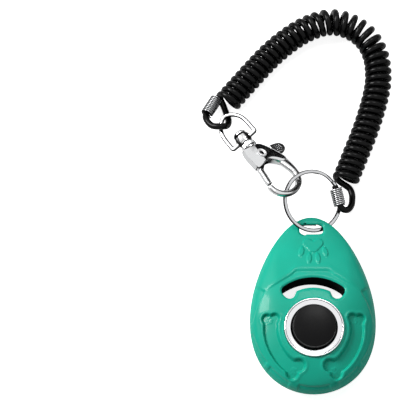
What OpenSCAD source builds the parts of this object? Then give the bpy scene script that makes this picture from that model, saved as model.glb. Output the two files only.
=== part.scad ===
// Clicker trainer: an egg-shaped hand clicker with a round push button, a split ring, a swivel clasp and
// a coiled wrist cord. Millimetres. The button axis is the z axis, the back lies on z = 0, and +y is the
// eyelet end.

/* [Body] */
// Length of the egg-shaped body, from its round end to the tip of its eyelet end
body_length = 66.3; // [62:0.1:74]
// Width of the body where it is widest
body_width = 45.8; // [44:0.1:54]
// Height of the domed body, without the trim ring and button
body_height = 13.8; // [13:0.1:17]
// Height of the seam between the rear and front shells
seam_height = 5; // [4.5:0.1:5.5]
// Thickness of the moulded walls
wall = 1.8; // [1.4:0.1:2.2]
// Depth of the two bone-shaped finger recesses
recess_depth = 0.8; // [0.4:0.1:1]

/* [Button and trim ring] */
// Diameter of the push button
button_d = 16.4; // [14:0.1:16.8]
// How far the button moves when it is pressed
button_travel = 1.5; // [1:0.1:1.8]
// Outside diameter of the polished ring round the button
trim_d = 21.6; // [21.2:0.1:22.6]

/* [Slot and eyelet] */
// Width of the curved slot that goes right through the body
slot_width = 4.1; // [3.2:0.1:4.4]
// Width of the eyelet that the split ring goes through
eyelet_width = 8.8; // [8.4:0.1:9.6]
// Height of the eyelet along the body
eyelet_height = 4.1; // [3.8:0.1:4.6]

/* [Split ring] */
// Outside diameter of the split ring
ring_d = 23.3; // [21.5:0.1:26]
// Width of the ring's wire, measured across the ring
ring_band = 1.4; // [1.1:0.1:1.6]
// Thickness of one turn of the ring's wire
ring_turn = 0.6; // [0.45:0.05:0.65]

/* [Clasp] */
// Thickness of the cast hook
hook_thickness = 2.2; // [1.8:0.1:2.4]
// Thickness of the clasp's body, where the lever is
clasp_thickness = 3.4; // [3.2:0.1:3.8]
// Thickness of the lever
lever_thickness = 1.4; // [1.2:0.05:1.5]
// Diameter of the rivet that the lever turns on
rivet_d = 1.8; // [1.4:0.1:2]
// Diameter of the swivel stud's shank
stud_d = 2.4; // [2:0.1:2.8]
// Thickness of the D-shaped swivel eye's wire
eye_wire = 1.6; // [1.2:0.1:1.7]

/* [Wrist coil] */
// Outside diameter of the coiled cord
coil_d = 10.3; // [9.4:0.1:11]
// Diameter of the cord that the coil is wound from
cord_d = 2.3; // [2:0.05:2.4]
// Outside diameter of the steel spring sleeves that close the cord's end loops
sleeve_d = 4.4; // [3.8:0.1:4.6]

/* [Part to show] */
// Sub-part to draw, or all of them

/* [Hidden] */
$fn = 48;

// Egg outline: half_w * sin * (1 - bend * cos), measured from the button axis
egg_bend = 0.2227;
half_w = body_width / 2 / 1.0232;
half_l = body_length / 2;
back_reach = 0.344 * body_length;
body_cy = half_l - back_reach;
rim = 1.1;
crown = body_height - seam_height - rim;
outline_steps = 60;
levels = [0.12, 0.3, 0.45, 0.6, 0.72, 0.82, 0.9, 0.955, 0.985, 0.997, 1];

// The cavity stops short of the eyelet end, which is solid
cavity_top = body_cy + half_l - 12.5;
cavity_back = back_reach - wall;
cavity_l = (cavity_top + cavity_back) / 2;
cavity_cy = cavity_l - cavity_back;
cavity_w = half_w - wall - 0.2;

button_r = button_d / 2;
trim_r = trim_d / 2;
button_gap = 0.4;
trim_floor = body_height - 1.9;
trim_top = body_height - 0.25;
button_edge = body_height + 2;
button_top = button_edge + 1.4;
plate_t = 0.35;
stem_z = seam_height + plate_t + button_travel;
flange_z = 8.4;
flange_h = 1;
collar_z = flange_z + flange_h + 0.05;

slot_r = 16.05;
slot_cy = 1.1;
slot_angle = 36;
foot_r = 2;
foot_in = 1.5;
slot_wall = 1.3;

// Each bone: a curved shaft, and two lobes at each end as [angle, radius, spread, lobe radius]
recess_r = 15.4;
recess_half = 2.2;
bone_ends = [[165, 16.3, 1.7, 1.5], [249.3, 15.4, 2.2, 1.8]];

eyelet_y = body_cy + half_l - 4.8;
boss_r = 2.6;
screw_r = 1.2;
screw_core = screw_r - 0.25;
head_r = 2;
head_t = 1.3;
head_sink = 0.5;
boss_places = [[0, cavity_top - 6.2], [-13.2, -11.6], [13.2, -11.6]];
post_r = 2.6;
plate_hole = [0, -14.2];

// The split ring leans, low at the right and high at the left, where the clasp hangs on it
ring_r = ring_d / 2 - ring_band / 2;
ring_pitch = ring_turn + 0.06;
lean_x = -0.36;
lean_y = 0.2;
ring_x = 0.6;
ring_reach = ring_r * cos(atan(lean_y));
ring_y = eyelet_y - 0.1 + ring_reach;
ring_z = seam_height - 0.09 + lean_y * ring_reach;
ring_c = [ring_x, ring_y, ring_z];
ring_lean = atan(norm([lean_x, lean_y]));

// The clasp follows the left side of the ring, and the coil's lower end follows its right side
ring_grow = ring_r - 10.95;
ring_move = ring_y - 49.43;
clasp_shift = [-ring_grow, ring_move, 0];
tail_shift = [ring_grow, ring_move, 0];
clasp_c = [-24.07, 73.46, 7.66] + clasp_shift;
clasp_turn = -54.1;
clasp_pitch = -11;
clasp_roll = -33.4;
eye_roll = 49.4;
stud_y = -1.1;
rivet_x = 9.1;
rivet_y = 0.1;
slit = lever_thickness + 0.5;

// Cord routes, end to end. The coil is one tube of its outside diameter.
coil_z = coil_d / 2 + 0.02;
coil_route = [[12.8, 57.7], [14.4, 61.6], [17, 68], [21, 78], [24.6, 89], [26.3, 98], [25.6, 107.5],
    [21.8, 115], [15.4, 119.8], [8, 121.2], [0, 118.6], [-7.5, 113.8], [-14.5, 107.6], [-21, 100.4],
    [-25.4, 95.4], [-28.8, 91.4]];
upper_route = [[-29.5, 90.7, 1.5], [-31.1, 89.1, 1.4], [-31, 87, 1.7], [-30.8, 84.6, 3], [-30.4, 81.9, 3.7],
    [-30.7, 79, 5.7], [-32.7, 78.5, 7.9], [-36.5, 78.9, 7], [-38.5, 81.6, 6], [-38.8, 84.2, 4.7],
    [-36.6, 87.6, 3.8], [-34.6, 90.8, 3.4]];
lower_route = [[13.9, 57.1, 1.5], [14.6, 54.6, 1.5], [15.3, 51.6, 2.1], [15, 49.2, 3.3], [13.6, 47.3, 4.6],
    [12, 46.6, 5.6], [10.8, 47.6, 6.2], [9.95, 50.8, 7], [9.1, 54.1, 7.8]];
cord_r = cord_d / 2;
sleeve_wall = (sleeve_d - cord_d) / 2;

function lean(x, y) = ring_z + lean_x * (x - ring_x) + lean_y * (y - ring_y);
function up(a) = pow(max(0, cos(a)), 2);
function egg(a, w, l, cy) = [w * sin(a) * (1 - egg_bend * cos(a)), cy + l * cos(a)];
function front_z(s, a) = seam_height + rim * sqrt(max(0, 1 - pow(s, 14)))
    + crown * pow(max(0, 1 - s * s), 0.5 + 1.3 * up(a));
function foot(s, a) = max(0, (s - 0.72 + 0.32 * up(a)) / (0.28 + 0.32 * up(a)));
function belly_z(s, a) = seam_height - rim * sqrt(max(0, 1 - pow(s, 14)))
    - (seam_height - rim) * pow(max(0, 1 - pow(foot(s, a), 2)), 0.5 + up(a));
function rear_z(s, a) = belly_z(s, a) < 0.03 ? 0 : belly_z(s, a);
function cavity_z(s, a) = seam_height + (crown + rim - wall) * pow(max(0, 1 - s * s), 0.5 + 1.0 * up(a));
function pit_z(s, a) = wall - 0.2 + (seam_height - wall + 0.2) * pow(s, 6);

// A closed lens of nested egg outlines, from its apex zs[0] to its rim, then straight on to z = flat
module lens(w, l, cy, zs, flat) {
    n = outline_steps;
    m = len(levels);
    skirt = abs(flat - zs[m * n]) > 0.01 ? 1 : 0;
    rows = m + skirt;
    pts = concat([[0, 0, zs[0]]],
        [for (k = [0:rows - 1]) for (i = [0:n - 1])
            let (p = egg(i * 360 / n, w, l, cy) * (k < m ? levels[k] : 1))
                [p[0], p[1], k < m ? zs[1 + k * n + i] : flat]]);
    faces = concat([for (i = [0:n - 1]) [0, 1 + i, 1 + (i + 1) % n]],
        [for (k = [0:rows - 2]) for (i = [0:n - 1]) for (t = [0, 1])
            let (a = 1 + k * n + i, b = 1 + k * n + (i + 1) % n)
                t == 0 ? [a, a + n, b + n] : [a, b + n, b]],
        [[for (i = [n - 1:-1:0]) 1 + (rows - 1) * n + i]]);
    polyhedron(pts, zs[0] > flat ? faces : [for (f = faces) [for (j = [len(f) - 1:-1:0]) f[j]]]);
}

function heights(kind, apex) = concat([apex],
    [for (s = levels) for (i = [0:outline_steps - 1]) let (a = i * 360 / outline_steps)
        kind == 0 ? front_z(s, a) : kind == 1 ? rear_z(s, a) : kind == 2 ? cavity_z(s, a) : pit_z(s, a)]);

module front_solid() {
    lens(half_w, half_l, body_cy, heights(0, body_height), seam_height);
}

module rear_solid() {
    lens(half_w, half_l, body_cy, heights(1, 0), seam_height);
}

// The curved slot with a rounded foot at each end, drawn flat; grow widens it all round
module slot_outline(grow) {
    r = slot_width / 2 + grow;
    n = 14;
    edge = [for (e = [1, -1]) for (i = [0:n]) let (a = e * slot_angle * (1 - 2 * i / n))
        [(slot_r + e * r) * sin(a), slot_cy + (slot_r + e * r) * cos(a)]];
    cap = [for (e = [-1, 1]) [for (i = [1:7]) let (b = i * 22.5, c = e * slot_angle)
        [slot_r * sin(c) + r * (sin(c) * cos(b) + cos(c) * sin(b) * e),
            slot_cy + slot_r * cos(c) + r * (cos(c) * cos(b) - sin(c) * sin(b) * e)]]];
    polygon(concat([for (i = [0:n]) edge[i]], cap[0], [for (i = [0:n]) edge[n + 1 + i]],
        [for (i = [6:-1:0]) cap[1][i]]));
    for (e = [-1, 1]) translate([0, slot_cy]) rotate(-e * slot_angle)
        translate([0, slot_r - foot_in]) circle(foot_r + grow);
}

// One bone-shaped recess, bent round the button, drawn flat
module bone_outline() {
    difference() {
        circle(recess_r + recess_half, $fn = 96);
        circle(recess_r - recess_half, $fn = 96);
        rotate(bone_ends[0][0]) translate([-60, -60]) square([120, 60]);
        rotate(bone_ends[1][0]) translate([-60, 0]) square([120, 60]);
    }
    for (b = bone_ends) for (e = [-1, 1])
        rotate(b[0]) translate([b[1] + e * b[2], 0]) circle(b[3]);
}

module recess_cutter() {
    difference() {
        for (e = [0, 1]) mirror([e, 0, 0])
            translate([0, 0, seam_height]) linear_extrude(body_height) bone_outline();
        translate([0, 0, -recess_depth]) front_solid();
    }
}

module eyelet_cutter() {
    w = eyelet_width / 2;
    translate([0, eyelet_y, 0]) {
        translate([0, 0, -1]) linear_extrude(body_height) eyelet_outline(0);
        // Worn edges where the ring enters at the front left and leaves at the back right
        for (e = [0, 180]) translate([0, 0, seam_height]) rotate([90, 0, 0]) rotate(e)
            translate([0, 0, -eyelet_height / 2 - 0.6]) linear_extrude(eyelet_height + 1.2)
                polygon([[-w - 2.2, 4], [-w - 2.2, 0.6], [-w + 1.9, -0.9], [-w + 1.9, 4]]);
    }
}

module eyelet_outline(grow) {
    w = eyelet_width / 2 + grow;
    h = eyelet_height / 2 + grow;
    polygon([[-w, -h + 0.7], [-w + 0.7, -h], [w - 0.7, -h], [w, -h + 0.7], [w, h - 1.5],
        [w - 0.9, h - 0.5], [w - 2.2, h], [-w + 2.2, h], [-w + 0.9, h - 0.5], [-w, h - 1.5]]);
}

module front_shell() {
    color([0.18, 0.66, 0.55]) difference() {
        front_solid();
        difference() {
            lens(cavity_w, cavity_l, cavity_cy, heights(2, body_height - wall), seam_height - 1);
            translate([0, 0, seam_height]) linear_extrude(body_height) slot_outline(slot_wall);
            for (p = boss_places) translate([p[0], p[1], seam_height])
                cylinder(r = boss_r, h = body_height);
            translate([0, 0, collar_z]) cylinder(r = button_r + button_gap + 1.3, h = body_height);
        }
        translate([0, 0, seam_height - 1]) cylinder(r = button_r + button_gap, h = body_height);
        translate([0, 0, trim_floor]) cylinder(r = trim_r, h = body_height);
        translate([0, 0, seam_height - 1]) linear_extrude(body_height) slot_outline(0);
        for (p = boss_places) translate([p[0], p[1], seam_height - 1]) cylinder(r = screw_core, h = 4.5);
        recess_cutter();
        eyelet_cutter();
    }
}

module rear_shell() {
    color([0.16, 0.62, 0.52]) difference() {
        rear_solid();
        difference() {
            lens(cavity_w, cavity_l, cavity_cy, heights(3, wall - 0.2), seam_height + 1);
            translate([0, 0, -1]) linear_extrude(seam_height + 3) slot_outline(slot_wall);
            for (p = boss_places) translate([p[0], p[1], -1]) cylinder(r = boss_r, h = seam_height + 1);
            translate([plate_hole[0], plate_hole[1], -1]) cylinder(r = post_r, h = seam_height + 1);
            translate([-4.5, 8.3, -1]) cube([9, 1.5, seam_height + 1]);
        }
        translate([0, 0, -1]) linear_extrude(seam_height + 3) slot_outline(0);
        for (p = boss_places) translate([p[0], p[1], -1]) {
            cylinder(r = screw_r + 0.15, h = seam_height + 2);
            cylinder(r = head_r + 0.1, h = 1 + head_sink + head_t);
        }
        translate([plate_hole[0], plate_hole[1], wall]) cylinder(r = 0.75, h = seam_height);
        eyelet_cutter();
    }
}

module trim_ring() {
    b = button_r + button_gap + 0.1;
    z = trim_floor;
    color([0.86, 0.87, 0.88]) rotate_extrude($fn = 96)
        polygon([[trim_r, z], [trim_r, trim_top], [trim_r - 0.25, trim_top + 0.3],
            [trim_r - 0.7, trim_top + 0.35], [trim_r - 1.1, trim_top], [trim_r - 1.6, z + 1.15],
            [b + 0.35, z + 0.8], [b, z + 0.7], [b, z]]);
}

module button() {
    r = button_r;
    z = flange_z;
    color([0.03, 0.03, 0.035]) rotate_extrude($fn = 96)
        polygon([[0, stem_z], [1.5, stem_z], [1.5, button_edge - 1.3], [r - 1.4, button_edge - 1.3],
            [r - 1.4, z], [r + 1.3, z], [r + 1.3, z + flange_h], [r, z + flange_h], [r, button_edge - 0.5],
            [r - 0.15, button_edge - 0.15], [r - 0.5, button_edge + 0.15], [r * 0.82, button_edge + 0.62],
            [r * 0.6, button_edge + 1.02], [r * 0.4, button_edge + 1.24], [r * 0.2, button_edge + 1.36],
            [0, button_top]]);
}

// The bowed spring-steel tongue that snaps: flat at the screw, domed under the button, resting on a rib
module click_plate() {
    t = plate_t;
    w = 9;
    z = seam_height;
    dome = button_travel;
    ys = [-17, -12, -9, -6, -3, 0, 3, 6, 9, 9.7];
    rise = [0, 0, 0.25, 0.65, 0.93, 1, 0.93, 0.6, 0.15, 0];
    color([0.72, 0.73, 0.75]) difference() {
        translate([-w / 2, 0, 0]) rotate([90, 0, 90]) linear_extrude(w)
            polygon(concat([for (i = [0:9]) [ys[i], z + dome * rise[i]]],
                [for (i = [9:-1:0]) [ys[i], z + dome * rise[i] + t]]));
        translate([plate_hole[0], plate_hole[1], z - 1]) cylinder(r = 1, h = 3);
    }
}

module plate_screw() {
    z = seam_height + plate_t;
    color([0.6, 0.61, 0.63]) translate([plate_hole[0], plate_hole[1], 0]) difference() {
        union() {
            translate([0, 0, wall + 0.3]) cylinder(r = 0.75, h = z - wall);
            translate([0, 0, z]) cylinder(r1 = 1.9, r2 = 1.5, h = 0.9);
        }
        for (a = [0, 90]) rotate(a) translate([-1.1, -0.2, z + 0.4]) cube([2.2, 0.4, 1]);
    }
}

module housing_screws() {
    color([0.6, 0.61, 0.63]) for (p = boss_places) translate([p[0], p[1], 0]) difference() {
        union() {
            translate([0, 0, head_sink]) cylinder(r = head_r, h = head_t);
            translate([0, 0, head_sink + head_t - 0.1]) cylinder(r = screw_core, h = seam_height + 1);
        }
        for (a = [0, 90]) rotate(a) translate([-0.6 * head_r, -head_t / 5, 0])
            cube([1.2 * head_r, head_t / 2.6, head_sink + head_t / 2]);
    }
}

// Smooth closed or open line through points, n steps to each span
function spline(p, n, closed) = let (m = len(p))
    [for (i = [0:closed ? m - 1 : m - 2]) for (k = [0:n - 1])
        let (t = k / n, a = p[closed ? (i + m - 1) % m : max(0, i - 1)], b = p[i], c = p[(i + 1) % m],
            d = p[closed ? (i + 2) % m : min(m - 1, i + 2)], quad = 2 * a - 5 * b + 4 * c - d)
            (2 * b + (c - a) * t + quad * t * t + (3 * b - a - 3 * c + d) * t * t * t) / 2];
function open_spline(p, n) = concat(spline(p, n, false), [p[len(p) - 1]]);

// A round cord along a route, closed by flat ends
module cord(route, r, sides) {
    m = len(route);
    pts = [for (i = [0:m - 1]) let (t = route[min(m - 1, i + 1)] - route[max(0, i - 1)],
        u = cross([0, 0, 1], t) / norm(cross([0, 0, 1], t)), v = cross(t, u) / norm(t))
            for (k = [0:sides - 1]) route[i] + r * (u * cos(k * 360 / sides) + v * sin(k * 360 / sides))];
    polyhedron(pts, concat([[for (k = [0:sides - 1]) k]],
        [for (i = [0:m - 2]) for (k = [0:sides - 1]) for (h = [0, 1])
            let (a = i * sides + k, b = i * sides + (k + 1) % sides)
                h == 0 ? [a, a + sides, b + sides] : [a, b + sides, b]],
        [[for (k = [sides - 1:-1:0]) (m - 1) * sides + k]]));
}

module along(a, b) {
    d = b - a;
    translate(a) rotate([0, acos(d[2] / norm(d)), atan2(d[1], d[0])]) children();
}

module split_ring() {
    steps = 44;
    from = 14;
    sweep = 692;
    h = ring_turn / 2;
    w = ring_band / 2;
    section = [[-w, -h], [w, -h], [w, h], [-w, h]];
    pts = [for (i = [0:steps]) let (a = from + sweep * i / steps, k = min(1, max(0, (a - 344) / 30)),
        z = (k * k * (3 - 2 * k) - 0.5) * ring_pitch)
            for (q = section) [(ring_r + q[0]) * cos(a + 60), (ring_r + q[0]) * sin(a + 60), z + q[1]]];
    color([0.82, 0.83, 0.85]) translate(ring_c) rotate(ring_lean, [lean_y, -lean_x, 0])
        polyhedron(pts, concat([[0, 1, 2, 3]],
            [for (i = [0:steps - 1]) for (k = [0:3]) for (t = [0, 1])
                let (a = i * 4 + k, b = i * 4 + (k + 1) % 4) t == 0 ? [a, a + 4, b + 4] : [a, b + 4, b]],
            [[for (k = [3:-1:0]) steps * 4 + k]]));
}

module clasp_place() {
    translate(clasp_c) rotate([0, 0, clasp_turn]) rotate([0, clasp_pitch, 0]) rotate([clasp_roll, 0, 0])
        children();
}

// A plate with bevelled edges, centred on z = 0
module plate(points, grow, t, bevel) {
    translate([0, 0, -t / 2 + bevel]) linear_extrude(t - 2 * bevel) polygon(points);
    for (e = [0, 1]) mirror([0, 0, e]) translate([0, 0, t / 2 - bevel - 0.01])
        linear_extrude(bevel + 0.01) offset(delta = -grow) polygon(points);
}

module clasp_hook() {
    hook = [[14.5, 4.8], [19, 7.2], [22.4, 7.3], [24.9, 6], [27.1, 2.2], [27.4, -2], [25.6, -5],
        [22.8, -5.2], [22.8, -7.3], [24.2, -7.6], [27.1, -6.5], [29.2, -3.9], [29.6, 0], [27.5, 5.2],
        [24.1, 8.7], [19.3, 10.4], [13.4, 9.6], [11, 7.6]];
    body = [[4.5, -3.9], [5.6, -5.8], [8.6, -6], [11.4, -5.9], [14.3, -5.6], [14.5, -4.4], [13.2, -0.8],
        [12.7, 2.1], [13.6, 4.3], [15.4, 6.8], [14.6, 9.2], [12.8, 9.1], [7.5, 5.7], [4.5, 2.3]];
    color([0.84, 0.85, 0.87]) clasp_place() difference() {
        union() {
            plate(spline(hook, 3, true), 0.35, hook_thickness, 0.4);
            plate(body, 0.3, clasp_thickness, 0.35);
            translate([2.4, stud_y, 0]) rotate([0, 90, 0]) cylinder(r1 = 2.7, r2 = 2.9, h = 0.6);
            translate([3, stud_y, 0]) rotate([0, 90, 0]) cylinder(r = 2.9, h = 1.2);
            translate([4.2, stud_y, 0]) rotate([0, 90, 0]) cylinder(r = 2.2, h = 0.8);
        }
        translate([2, stud_y, 0]) rotate([0, 90, 0]) cylinder(r = stud_d / 2, h = 3.6);
        for (a = [0 : 2.5 : 27.5]) translate([rivet_x, rivet_y, -slit / 2]) rotate(a)
            linear_extrude(slit) lever_outline(0.3);
        translate([rivet_x, rivet_y, -clasp_thickness]) cylinder(r = rivet_d / 2, h = 2 * clasp_thickness);
    }
}

module lever_outline(grow) {
    circle(2.7 + grow);
    translate([-0.85, 9.8]) circle(1.75 + grow);
    polygon([[-2.45 - grow, 9.8], [-2.3 - grow, 0], [1.6 + grow, 0], [0.9 + grow, 9.8]]);
    polygon([[-1.8, -2 - grow], [5.5, -5.8 - grow], [13.35 + grow, -7.05 - grow],
        [13.35 + grow, -5.1 + grow], [6.6 + grow, -3.9 + grow], [2.6 + grow, 0.6]]);
}

module clasp_lever() {
    t = lever_thickness;
    color([0.78, 0.79, 0.81]) clasp_place() translate([rivet_x, rivet_y, 0]) difference() {
        union() {
            translate([0, 0, -t / 2]) linear_extrude(t) lever_outline(0);
            translate([0, 0, -hook_thickness / 2 + 0.15]) linear_extrude(hook_thickness - 0.3)
                polygon([[6.3, -5.9], [13.35, -7.05], [13.35, -5.1], [6.9, -4]]);
            translate([0, 0, -1]) linear_extrude(2)
                polygon([[-2.3, 7.6], [-2.2, 10.6], [-0.85, 11.4], [0.5, 10.6], [0.8, 7.6]]);
        }
        translate([0, 0, -t]) cylinder(r = rivet_d / 2 + 0.06, h = 2 * t);
        translate([0, 0, t / 2 - 0.7]) cylinder(r = 2.2, h = 1);
    }
}

module lever_spring() {
    color([0.7, 0.71, 0.73]) clasp_place() translate([rivet_x, rivet_y, lever_thickness / 2 - 0.7])
        for (k = [0, 1]) translate([0, 0, 0.18 + k * 0.34]) rotate_extrude() translate([1.6, 0])
            circle(0.17, $fn = 16);
}

module clasp_rivet() {
    h = clasp_thickness / 2;
    color([0.8, 0.81, 0.83]) clasp_place() translate([rivet_x, rivet_y, 0]) rotate_extrude()
        polygon([[0, -h - 0.3], [1.3, -h - 0.3], [1.7, -h], [rivet_d / 2, -h], [rivet_d / 2, h],
            [1.75, h], [1.6, h + 0.3], [1.2, h + 0.4], [0.9, h + 0.15], [0, h + 0.15]]);
}

module swivel_stud() {
    s = stud_d / 2;
    color([0.85, 0.86, 0.87]) clasp_place() translate([0, stud_y, 0]) rotate([0, 90, 0]) rotate_extrude()
        polygon([[0, -3.4], [1.5, -3.3], [2.3, -2.9], [2.6, -2.3], [2.6, -1.9], [2.3, -1.75], [s, -1.7],
            [s, 5.6], [0, 5.6]]);
}

// The D-shaped eye that turns on the swivel stud and holds the upper cord loop
module swivel_eye() {
    w = eye_wire;
    outer = [[1.3, -4.9], [0.4, -5.85], [-2, -6.1], [-5, -6.1], [-8, -5.5], [-10.6, -4], [-12.3, -1.9],
        [-12.9, 0], [-12.3, 1.9], [-10.6, 4], [-8, 5.5], [-5, 6.1], [-2, 6.1], [0.4, 5.85], [1.3, 4.9]];
    inner = [[-0.4, -4.2], [-2, -4.5], [-5, -4.5], [-7.6, -4], [-9.5, -2.8], [-10.8, -1.3],
        [-11.3, 0], [-10.8, 1.3], [-9.5, 2.8], [-7.6, 4], [-5, 4.5], [-2, 4.5], [-0.4, 4.2]];
    k = (w - 1.6) / 2;
    color([0.84, 0.85, 0.87]) clasp_place() translate([0, stud_y, 0]) rotate([eye_roll, 0, 0]) difference() {
        union() {
            difference() {
                plate(outer, 0.3, w, 0.3);
                translate([0, 0, -w]) linear_extrude(2 * w) offset(delta = -k) polygon(inner);
            }
            translate([-1.4, 0, 0]) rotate([0, 90, 0]) cylinder(r = 2.9, h = 3.4);
        }
        translate([-2, 0, 0]) rotate([0, 90, 0]) cylinder(r = stud_d / 2 + 0.06, h = 6);
        translate([-4.4, 0, 0]) rotate([0, 90, 0]) cylinder(r = 3.2, h = 3);
    }
}

// The coil, drawn as one tube of its outside diameter. Its ends follow the clasp and the ring.
module wrist_coil() {
    m = len(coil_route) - 1;
    route = [for (i = [0:m]) let (p = coil_route[i])
        [p[0], p[1], coil_z] + tail_shift * (1 - i / m) + clasp_shift * i / m];
    color([0.05, 0.05, 0.055]) cord(open_spline(route, 2), coil_d / 2, 16);
}

module loop(route, shift) {
    color([0.05, 0.05, 0.055]) cord(open_spline([for (p = route) p + shift], 2), cord_r, 8);
}

module cord_loop_upper() {
    loop(upper_route, clasp_shift);
}

module cord_loop_lower() {
    loop(lower_route, tail_shift);
}

module sleeve(a, b) {
    color([0.8, 0.81, 0.83]) along(a, b) difference() {
        cylinder(r = sleeve_d / 2, h = norm(b - a));
        translate([0, 0, -1]) cylinder(r = cord_r, h = norm(b - a) + 2);
    }
}

module sleeve_upper() {
    sleeve(upper_route[9] + clasp_shift, upper_route[11] + clasp_shift);
}

module sleeve_lower() {
    sleeve(lower_route[6] + tail_shift, lower_route[8] + tail_shift);
}

front_shell();
rear_shell();
trim_ring();
button();
click_plate();
plate_screw();
housing_screws();
split_ring();
clasp_hook();
clasp_lever();
lever_spring();
clasp_rivet();
swivel_stud();
swivel_eye();
wrist_coil();
cord_loop_upper();
cord_loop_lower();
sleeve_upper();
sleeve_lower();
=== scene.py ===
import bpy
import numpy as np
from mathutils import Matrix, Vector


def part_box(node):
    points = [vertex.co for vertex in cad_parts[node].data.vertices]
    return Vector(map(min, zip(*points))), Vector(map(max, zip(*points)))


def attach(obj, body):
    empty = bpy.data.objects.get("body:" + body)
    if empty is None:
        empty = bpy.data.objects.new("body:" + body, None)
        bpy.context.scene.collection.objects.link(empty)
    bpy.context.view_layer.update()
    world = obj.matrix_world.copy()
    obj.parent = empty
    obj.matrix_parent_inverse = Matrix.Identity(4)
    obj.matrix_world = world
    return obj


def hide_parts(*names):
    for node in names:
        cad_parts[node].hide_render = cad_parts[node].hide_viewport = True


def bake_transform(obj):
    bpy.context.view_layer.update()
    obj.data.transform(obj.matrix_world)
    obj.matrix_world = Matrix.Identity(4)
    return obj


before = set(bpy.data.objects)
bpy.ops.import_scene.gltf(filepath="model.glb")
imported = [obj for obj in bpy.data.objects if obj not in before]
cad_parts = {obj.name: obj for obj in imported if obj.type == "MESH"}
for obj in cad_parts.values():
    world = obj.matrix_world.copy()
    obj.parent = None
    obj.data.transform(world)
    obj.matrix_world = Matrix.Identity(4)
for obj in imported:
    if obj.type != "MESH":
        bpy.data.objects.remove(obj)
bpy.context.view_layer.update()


# ---- Rear shell ----
# The lower half of the egg-shaped body, injection moulded in ABS with a low gloss. Its back is flat, with
# three sunk screws, and the curved slot and the eyelet go right through it. It meets the front shell in a
# fine parting groove.

def box_mm(node):
    """Lowest and highest corners of a CAD node, in millimetres."""
    lo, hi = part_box(node)
    return np.array(lo) * 1000, np.array(hi) * 1000


def smooth_step(t):
    """3t^2 - 2t^3, with t held between 0 and 1."""
    t = np.clip(t, 0, 1)
    return t * t * (3 - 2 * t)


def smooth_least(a, b, blend):
    """The lesser of two distances, with a fillet of about the blend length where they cross."""
    h = np.clip(0.5 + 0.5 * (b - a) / blend, 0, 1)
    return b + (a - b) * h - blend * h * (1 - h)


front_lo, front_hi = box_mm("front_shell")
seam_z = front_lo[2]
body_height = 13.8
egg_bend = 0.2227
half_width = (front_hi[0] - front_lo[0]) / 2 / 1.0232
half_length = (front_hi[1] - front_lo[1]) / 2
centre_y = (front_hi[1] + front_lo[1]) / 2
rim = 1.1
crown = body_height - seam_z - rim
wall = 1.8


def egg(angle, width, length, centre):
    """Egg outline round the button's axis: x = w sin a (1 - bend cos a), y = centre + l cos a."""
    return width * np.sin(angle) * (1 - egg_bend * np.cos(angle)), centre + length * np.cos(angle)


def towards_eyelet(angle):
    """1 on the line to the eyelet and 0 beside and behind the button: the squared positive part of the
    cosine."""
    return np.maximum(0, np.cos(angle)) ** 2


def belly_height(s, angle):
    """Underside at a share s of the outline: a quarter-round rim, less a foot that runs down to the flat
    back."""
    lift = towards_eyelet(angle)
    foot = np.maximum(0, (s - 0.72 + 0.32 * lift) / (0.28 + 0.32 * lift))
    z = seam_z - rim * np.sqrt(np.maximum(0, 1 - s ** 14))
    z = z - (seam_z - rim) * np.maximum(0, 1 - foot ** 2) ** (0.5 + lift)
    return np.where(z < 0.03, 0, z)


def make_mesh(name, points, faces):
    """A closed mesh object from points in millimetres and faces as lists of point numbers. Its faces are
    all turned over if its volume, the sum of a . (b x c) / 6 over its triangles, comes out negative."""
    mesh = bpy.data.meshes.new(name)
    mesh.from_pydata((np.asarray(points) / 1000).tolist(), [], [list(face) for face in faces])
    mesh.calc_loop_triangles()
    corners = np.empty(len(mesh.loop_triangles) * 3, dtype=np.int32)
    mesh.loop_triangles.foreach_get("vertices", corners)
    a, b, c = np.asarray(points, dtype=float)[corners.reshape(-1, 3).T]
    if np.sum(a * np.cross(b, c)) < 0:
        mesh.flip_normals()
    mesh.polygons.foreach_set("use_smooth", np.ones(len(mesh.polygons), dtype=bool))
    made = bpy.data.objects.new(name, mesh)
    bpy.context.collection.objects.link(made)
    return made


def grid_faces(rows, columns, closed_rows=False, closed_columns=True):
    """Quads of a rows by columns grid of points, counted row by row."""
    r = np.arange(rows if closed_rows else rows - 1)[:, None]
    c = np.arange(columns if closed_columns else columns - 1)[None, :]
    r2, c2 = (r + 1) % rows, (c + 1) % columns
    quads = np.stack([r * columns + c, r * columns + c2, r2 * columns + c2, r2 * columns + c], axis=-1)
    return quads.reshape(-1, 4).tolist()


def nested_solid(name, outline, shares, heights, apex, flat):
    """Closed lens: an apex, rings of one outline scaled by shares with their own heights, and a flat far
    side."""
    columns = outline.shape[1]
    rows = len(shares)
    x, y = shares[:, None] * outline[0], shares[:, None] * outline[1]
    rings = np.stack([x, y, heights], axis=-1).reshape(-1, 3)
    points = np.concatenate([rings, [[0, 0, apex], [0, 0, flat]]])
    ring = np.arange(columns)
    inner = np.stack([ring, np.roll(ring, -1), np.full(columns, rows * columns)], axis=1)
    last = (rows - 1) * columns
    outer = np.stack([last + np.roll(ring, -1), last + ring, np.full(columns, rows * columns + 1)], axis=1)
    faces = [face[::-1] for face in grid_faces(rows, columns)] + inner.tolist() + outer.tolist()
    return make_mesh(name, points, faces)


def prism(name, outline, bottom, top):
    """A closed outline carried straight up from bottom to top, both ends capped."""
    count = len(outline)
    low = np.column_stack([outline, np.full(count, bottom)])
    high = np.column_stack([outline, np.full(count, top)])
    faces = grid_faces(2, count) + [list(range(count))[::-1], list(range(count, 2 * count))]
    return make_mesh(name, np.concatenate([low, high]), faces)


def round_outline(x, y, radius, count=64):
    """A circle as a list of points."""
    t = np.linspace(0, 2 * np.pi, count, endpoint=False)
    return np.column_stack([x + radius * np.cos(t), y + radius * np.sin(t)])


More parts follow.
